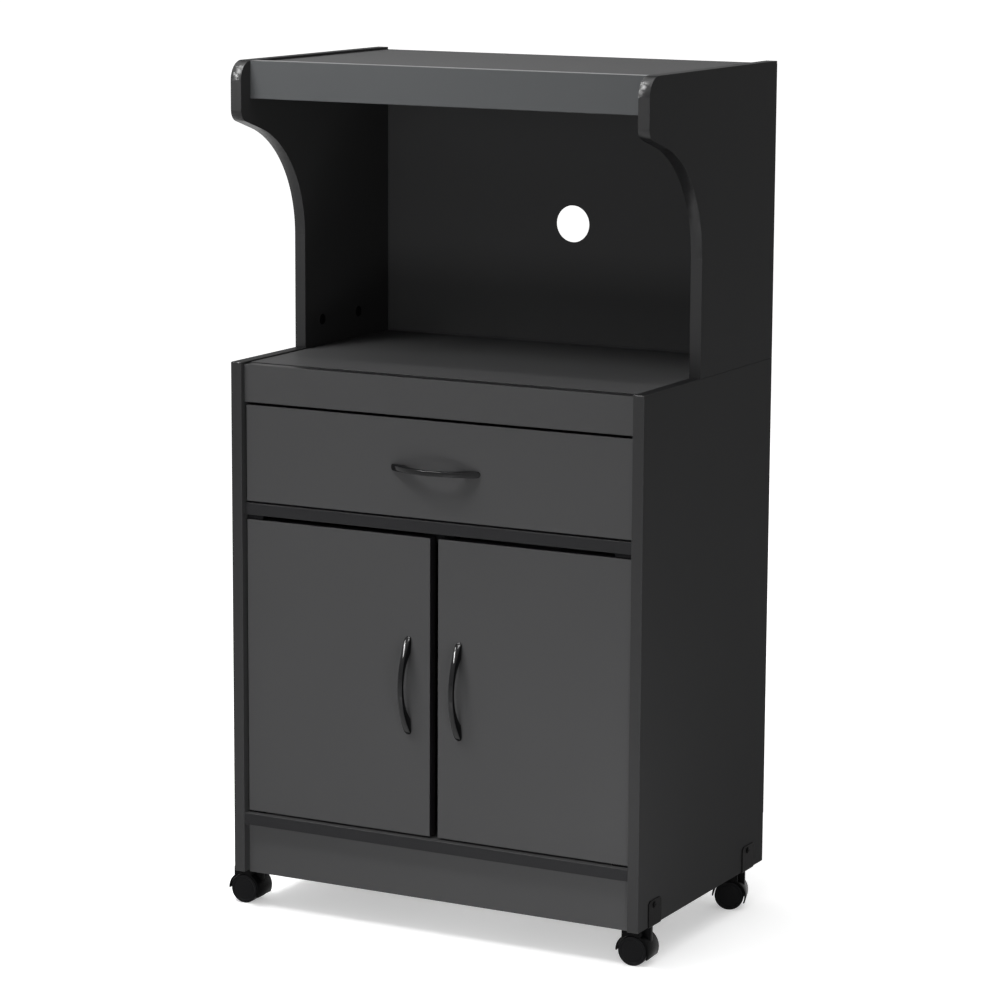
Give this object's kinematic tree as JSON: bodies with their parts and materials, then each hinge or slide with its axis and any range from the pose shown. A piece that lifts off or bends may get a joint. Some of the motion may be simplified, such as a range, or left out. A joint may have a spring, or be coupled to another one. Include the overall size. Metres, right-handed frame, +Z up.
{
  "type": "kitchen cabinet",
  "caption": "Rolling kitchen cabinet with an open hutch for a microwave oven, a drawer on roller runners, a cupboard with hinged doors and twin-wheel casters.",
  "frame": {"origin": "on the floor, midway between the side panels' outer faces and between the front and rear edges", "axes": "+X to the right of someone facing the doors, -Y out of the front, +Z up"},
  "size_m": [0.6484, 0.416, 1.156],
  "materials": {
    "charcoal_laminate": "particle board faced with smooth satin charcoal laminate",
    "charcoal_hardboard": "hardboard with a matt charcoal print",
    "black_gloss_metal": "high-gloss black enamel",
    "black_steel": "black powder coat",
    "zinc_plated_steel": "bright zinc plating",
    "black_plastic": "moulded, semi-matt",
    "wheel_nylon": "moulded, satin",
    "white_nylon": "moulded, natural"
  },
  "bodies": {
    "cabinet": {"left_side_panel": "charcoal_laminate", "right_side_panel": "charcoal_laminate", "worktop": "charcoal_laminate", "worktop_fascia": "charcoal_laminate", "drawer_divider": "charcoal_laminate", "bottom_panel": "charcoal_laminate", "toe_kick": "charcoal_laminate", "lower_back_panel": "charcoal_hardboard", "cupboard_shelf": "charcoal_laminate", "shelf_brackets": "zinc_plated_steel", "hutch_left_side": "charcoal_laminate", "hutch_right_side": "charcoal_laminate", "hutch_top": "charcoal_laminate", "hutch_fascia": "charcoal_laminate", "hutch_back_panel": "charcoal_hardboard", "cabinet_runners": "zinc_plated_steel", "door_pivot_blocks": "black_plastic", "magnetic_catch": "black_plastic", "front_left_caster_bracket": "black_steel", "front_right_caster_bracket": "black_steel", "rear_left_caster_bracket": "black_steel", "rear_right_caster_bracket": "black_steel"},
    "drawer": {"drawer_front": "charcoal_laminate", "drawer_left_side": "charcoal_laminate", "drawer_right_side": "charcoal_laminate", "drawer_back": "charcoal_laminate", "drawer_bottom": "charcoal_hardboard", "drawer_handle": "black_gloss_metal", "drawer_runners": "zinc_plated_steel"},
    "front_roller_pair": {"front_rollers": "white_nylon"},
    "rear_roller_pair": {"rear_rollers": "white_nylon"},
    "left_door": {"left_door_panel": "charcoal_laminate", "left_door_handle": "black_gloss_metal", "left_door_pivot_plates": "black_steel", "left_door_strike_plate": "zinc_plated_steel"},
    "right_door": {"right_door_panel": "charcoal_laminate", "right_door_handle": "black_gloss_metal", "right_door_pivot_plates": "black_steel", "right_door_strike_plate": "zinc_plated_steel"},
    "front_left_swivel": {"front_left_caster_hood": "black_plastic"},
    "front_left_wheel_pair": {"front_left_caster_wheels": "wheel_nylon"},
    "front_right_swivel": {"front_right_caster_hood": "black_plastic"},
    "front_right_wheel_pair": {"front_right_caster_wheels": "wheel_nylon"},
    "rear_left_swivel": {"rear_left_caster_hood": "black_plastic"},
    "rear_left_wheel_pair": {"rear_left_caster_wheels": "wheel_nylon"},
    "rear_right_swivel": {"rear_right_caster_hood": "black_plastic"},
    "rear_right_wheel_pair": {"rear_right_caster_wheels": "wheel_nylon"}
  },
  "joints": [
    {"name": "drawer_slide", "type": "slide", "parent": "cabinet", "child": "drawer", "axis": [0, -1, 0], "range_m": [0, 0.26]},
    {"name": "front_roller_spin", "type": "hinge", "parent": "cabinet", "child": "front_roller_pair", "pos_m": [0, -0.1615, 0.5891], "axis": [1, 0, 0], "range_deg": [-10, 1700]},
    {"name": "rear_roller_spin", "type": "hinge", "parent": "drawer", "child": "rear_roller_pair", "pos_m": [0, 0.1515, 0.5885], "axis": [1, 0, 0], "range_deg": [-10, 1700]},
    {"name": "left_door_hinge", "type": "hinge", "parent": "cabinet", "child": "left_door", "pos_m": [-0.275, -0.1835, 0.342], "axis": [0, 0, -1], "range_deg": [0, 105]},
    {"name": "right_door_hinge", "type": "hinge", "parent": "cabinet", "child": "right_door", "pos_m": [0.275, -0.1835, 0.342], "axis": [0, 0, 1], "range_deg": [0, 105]},
    {"name": "front_left_caster_swivel", "type": "hinge", "parent": "cabinet", "child": "front_left_swivel", "pos_m": [-0.2965, -0.151, 0.051], "axis": [0, 0, 1], "continuous": true},
    {"name": "front_left_wheel_spin", "type": "hinge", "parent": "front_left_swivel", "child": "front_left_wheel_pair", "pos_m": [-0.3105, -0.15133, 0.02], "axis": [-0.0236, 0.9997, 0], "continuous": true},
    {"name": "front_right_caster_swivel", "type": "hinge", "parent": "cabinet", "child": "front_right_swivel", "pos_m": [0.2965, -0.151, 0.051], "axis": [0, 0, 1], "continuous": true},
    {"name": "front_right_wheel_spin", "type": "hinge", "parent": "front_right_swivel", "child": "front_right_wheel_pair", "pos_m": [0.28253, -0.15185, 0.02], "axis": [-0.061, 0.9981, 0], "continuous": true},
    {"name": "rear_left_caster_swivel", "type": "hinge", "parent": "cabinet", "child": "rear_left_swivel", "pos_m": [-0.2965, 0.1445, 0.051], "axis": [0, 0, 1], "continuous": true},
    {"name": "rear_left_wheel_spin", "type": "hinge", "parent": "rear_left_swivel", "child": "rear_left_wheel_pair", "pos_m": [-0.31029, 0.14207, 0.02], "axis": [-0.1736, 0.9848, 0], "continuous": true},
    {"name": "rear_right_caster_swivel", "type": "hinge", "parent": "cabinet", "child": "rear_right_swivel", "pos_m": [0.2965, 0.1445, 0.051], "axis": [0, 0, 1], "continuous": true},
    {"name": "rear_right_wheel_spin", "type": "hinge", "parent": "rear_right_swivel", "child": "rear_right_wheel_pair", "pos_m": [0.28326, 0.13994, 0.02], "axis": [-0.3256, 0.9455, 0], "continuous": true}
  ],
  "couplings": [
    {"joint": "front_roller_spin", "follows": "drawer_slide", "rad_per_m": 111.11},
    {"joint": "rear_roller_spin", "follows": "drawer_slide", "rad_per_m": 111.11}
  ]
}
